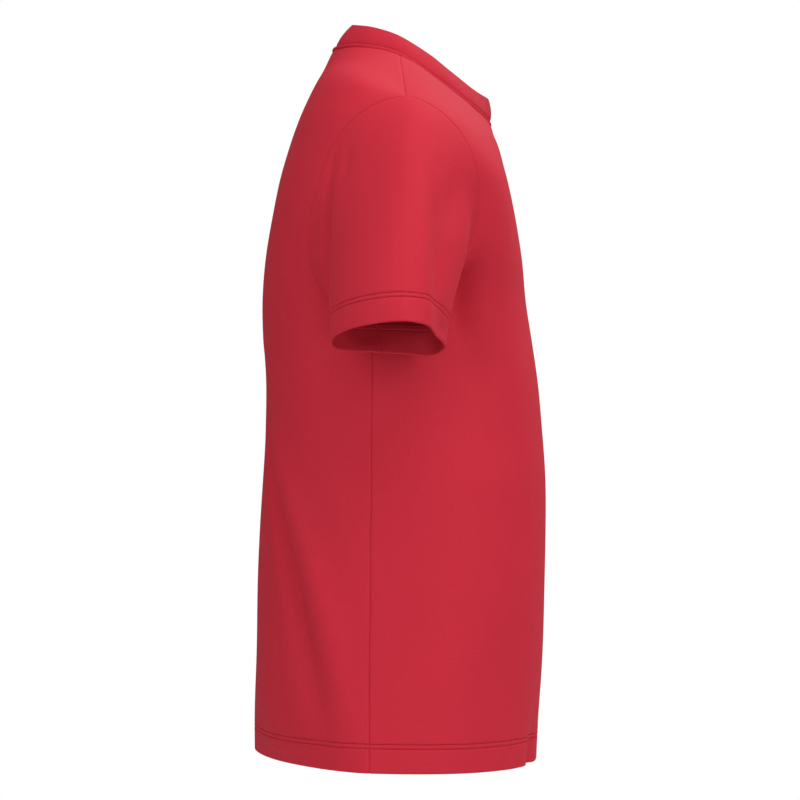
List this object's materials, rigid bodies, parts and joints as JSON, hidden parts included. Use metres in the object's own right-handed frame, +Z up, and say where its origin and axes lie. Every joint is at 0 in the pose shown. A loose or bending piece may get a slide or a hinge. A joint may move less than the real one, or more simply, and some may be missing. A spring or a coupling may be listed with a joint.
{
  "type": "t-shirt",
  "caption": "Plain red crew-neck T-shirt with short set-in sleeves and a rib neckband, filled out as worn, open at neck, sleeves and hem.",
  "frame": {"origin": "midway between the two shoulder seams, where the wearer's shoulders carry the shirt", "axes": "+Z up; the front of the shirt faces -Y; +X is the wearer's left"},
  "size_m": [0.6044, 0.2995, 0.7527],
  "materials": {
    "jersey": "matte",
    "rib": "matte"
  },
  "bodies": {
    "root": {"front": "jersey", "back": "jersey", "sleeve_right": "jersey", "sleeve_left": "jersey", "neckband": "rib"}
  },
  "joints": []
}
